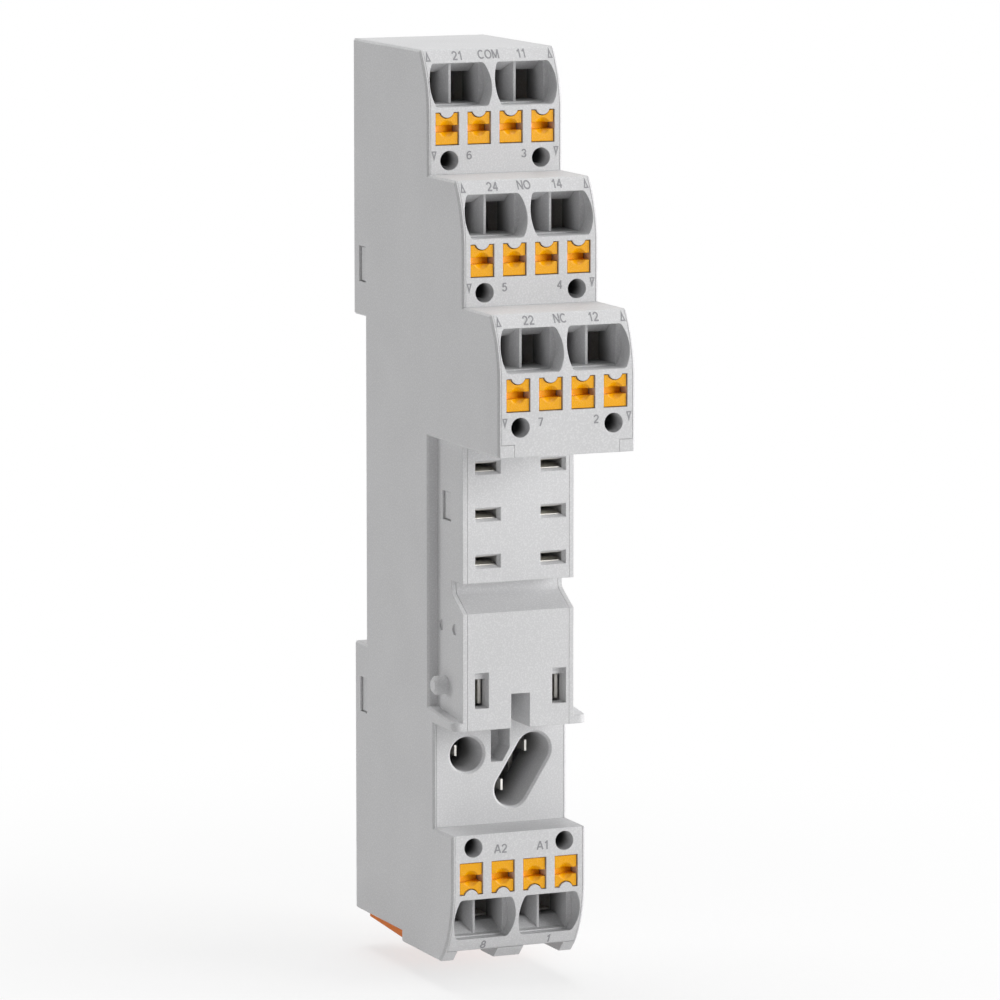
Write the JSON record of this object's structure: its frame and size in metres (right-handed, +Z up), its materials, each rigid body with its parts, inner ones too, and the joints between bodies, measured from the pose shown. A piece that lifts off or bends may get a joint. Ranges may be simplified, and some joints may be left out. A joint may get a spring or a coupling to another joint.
{
  "type": "relay socket",
  "caption": "Slim stepped DIN rail socket for a plug-in relay, with push-in terminals, orange release buttons, a relay face and a function module port.",
  "frame": {"origin": "on the rail seat, on the centre line of the rail and of the socket's width", "axes": "X across the module, the front faces towards -Y, +Z up towards the contact terminals"},
  "size_m": [0.0158, 0.0404, 0.0971],
  "materials": {
    "housing": "fine matte texture, light grey",
    "buttons": "satin orange",
    "contacts": "tinned",
    "springs": "bright spring steel",
    "latch": "satin dark orange"
  },
  "bodies": {
    "housing": {"left_cover": "housing", "right_cover": "housing", "centre_frame": "housing", "relay_block": "housing", "terminal_front_com": "housing", "terminal_front_no": "housing", "terminal_front_nc": "housing", "terminal_front_coil": "housing", "clamp_spring_com_1": "springs", "clamp_spring_com_2": "springs", "clamp_spring_com_3": "springs", "clamp_spring_com_4": "springs", "clamp_spring_no_1": "springs", "clamp_spring_no_2": "springs", "clamp_spring_no_3": "springs", "clamp_spring_no_4": "springs", "clamp_spring_nc_1": "springs", "clamp_spring_nc_2": "springs", "clamp_spring_nc_3": "springs", "clamp_spring_nc_4": "springs", "clamp_spring_coil_1": "springs", "clamp_spring_coil_2": "springs", "clamp_spring_coil_3": "springs", "clamp_spring_coil_4": "springs", "contact_com_left": "contacts", "contact_com_right": "contacts", "contact_no_left": "contacts", "contact_no_right": "contacts", "contact_nc_left": "contacts", "contact_nc_right": "contacts", "contact_coil_left": "contacts", "contact_coil_right": "contacts", "module_contact_left": "contacts", "module_contact_upper": "contacts", "module_contact_lower": "contacts", "latch_spring": "springs"},
    "button_com_1": {"button_com_1": "buttons"},
    "button_com_2": {"button_com_2": "buttons"},
    "button_com_3": {"button_com_3": "buttons"},
    "button_com_4": {"button_com_4": "buttons"},
    "button_no_1": {"button_no_1": "buttons"},
    "button_no_2": {"button_no_2": "buttons"},
    "button_no_3": {"button_no_3": "buttons"},
    "button_no_4": {"button_no_4": "buttons"},
    "button_nc_1": {"button_nc_1": "buttons"},
    "button_nc_2": {"button_nc_2": "buttons"},
    "button_nc_3": {"button_nc_3": "buttons"},
    "button_nc_4": {"button_nc_4": "buttons"},
    "button_coil_1": {"button_coil_1": "buttons"},
    "button_coil_2": {"button_coil_2": "buttons"},
    "button_coil_3": {"button_coil_3": "buttons"},
    "button_coil_4": {"button_coil_4": "buttons"},
    "rail_latch": {"rail_latch": "latch"}
  },
  "joints": [
    {"name": "button_com_1_push", "type": "slide", "parent": "housing", "child": "button_com_1", "axis": [0, 1, 0], "range_m": [0, 0.0012], "stiffness_N_per_m": 1500, "deforming": ["clamp_spring_com_1"]},
    {"name": "button_com_2_push", "type": "slide", "parent": "housing", "child": "button_com_2", "axis": [0, 1, 0], "range_m": [0, 0.0012], "stiffness_N_per_m": 1500, "deforming": ["clamp_spring_com_2"]},
    {"name": "button_com_3_push", "type": "slide", "parent": "housing", "child": "button_com_3", "axis": [0, 1, 0], "range_m": [0, 0.0012], "stiffness_N_per_m": 1500, "deforming": ["clamp_spring_com_3"]},
    {"name": "button_com_4_push", "type": "slide", "parent": "housing", "child": "button_com_4", "axis": [0, 1, 0], "range_m": [0, 0.0012], "stiffness_N_per_m": 1500, "deforming": ["clamp_spring_com_4"]},
    {"name": "button_no_1_push", "type": "slide", "parent": "housing", "child": "button_no_1", "axis": [0, 1, 0], "range_m": [0, 0.0012], "stiffness_N_per_m": 1500, "deforming": ["clamp_spring_no_1"]},
    {"name": "button_no_2_push", "type": "slide", "parent": "housing", "child": "button_no_2", "axis": [0, 1, 0], "range_m": [0, 0.0012], "stiffness_N_per_m": 1500, "deforming": ["clamp_spring_no_2"]},
    {"name": "button_no_3_push", "type": "slide", "parent": "housing", "child": "button_no_3", "axis": [0, 1, 0], "range_m": [0, 0.0012], "stiffness_N_per_m": 1500, "deforming": ["clamp_spring_no_3"]},
    {"name": "button_no_4_push", "type": "slide", "parent": "housing", "child": "button_no_4", "axis": [0, 1, 0], "range_m": [0, 0.0012], "stiffness_N_per_m": 1500, "deforming": ["clamp_spring_no_4"]},
    {"name": "button_nc_1_push", "type": "slide", "parent": "housing", "child": "button_nc_1", "axis": [0, 1, 0], "range_m": [0, 0.0012], "stiffness_N_per_m": 1500, "deforming": ["clamp_spring_nc_1"]},
    {"name": "button_nc_2_push", "type": "slide", "parent": "housing", "child": "button_nc_2", "axis": [0, 1, 0], "range_m": [0, 0.0012], "stiffness_N_per_m": 1500, "deforming": ["clamp_spring_nc_2"]},
    {"name": "button_nc_3_push", "type": "slide", "parent": "housing", "child": "button_nc_3", "axis": [0, 1, 0], "range_m": [0, 0.0012], "stiffness_N_per_m": 1500, "deforming": ["clamp_spring_nc_3"]},
    {"name": "button_nc_4_push", "type": "slide", "parent": "housing", "child": "button_nc_4", "axis": [0, 1, 0], "range_m": [0, 0.0012], "stiffness_N_per_m": 1500, "deforming": ["clamp_spring_nc_4"]},
    {"name": "button_coil_1_push", "type": "slide", "parent": "housing", "child": "button_coil_1", "axis": [0, 1, 0], "range_m": [0, 0.0012], "stiffness_N_per_m": 1500, "deforming": ["clamp_spring_coil_1"]},
    {"name": "button_coil_2_push", "type": "slide", "parent": "housing", "child": "button_coil_2", "axis": [0, 1, 0], "range_m": [0, 0.0012], "stiffness_N_per_m": 1500, "deforming": ["clamp_spring_coil_2"]},
    {"name": "button_coil_3_push", "type": "slide", "parent": "housing", "child": "button_coil_3", "axis": [0, 1, 0], "range_m": [0, 0.0012], "stiffness_N_per_m": 1500, "deforming": ["clamp_spring_coil_3"]},
    {"name": "button_coil_4_push", "type": "slide", "parent": "housing", "child": "button_coil_4", "axis": [0, 1, 0], "range_m": [0, 0.0012], "stiffness_N_per_m": 1500, "deforming": ["clamp_spring_coil_4"]},
    {"name": "rail_latch_slide", "type": "slide", "parent": "housing", "child": "rail_latch", "axis": [0, 0, -1], "range_m": [0, 0.003], "stiffness_N_per_m": 3000, "deforming": ["latch_spring"]}
  ]
}
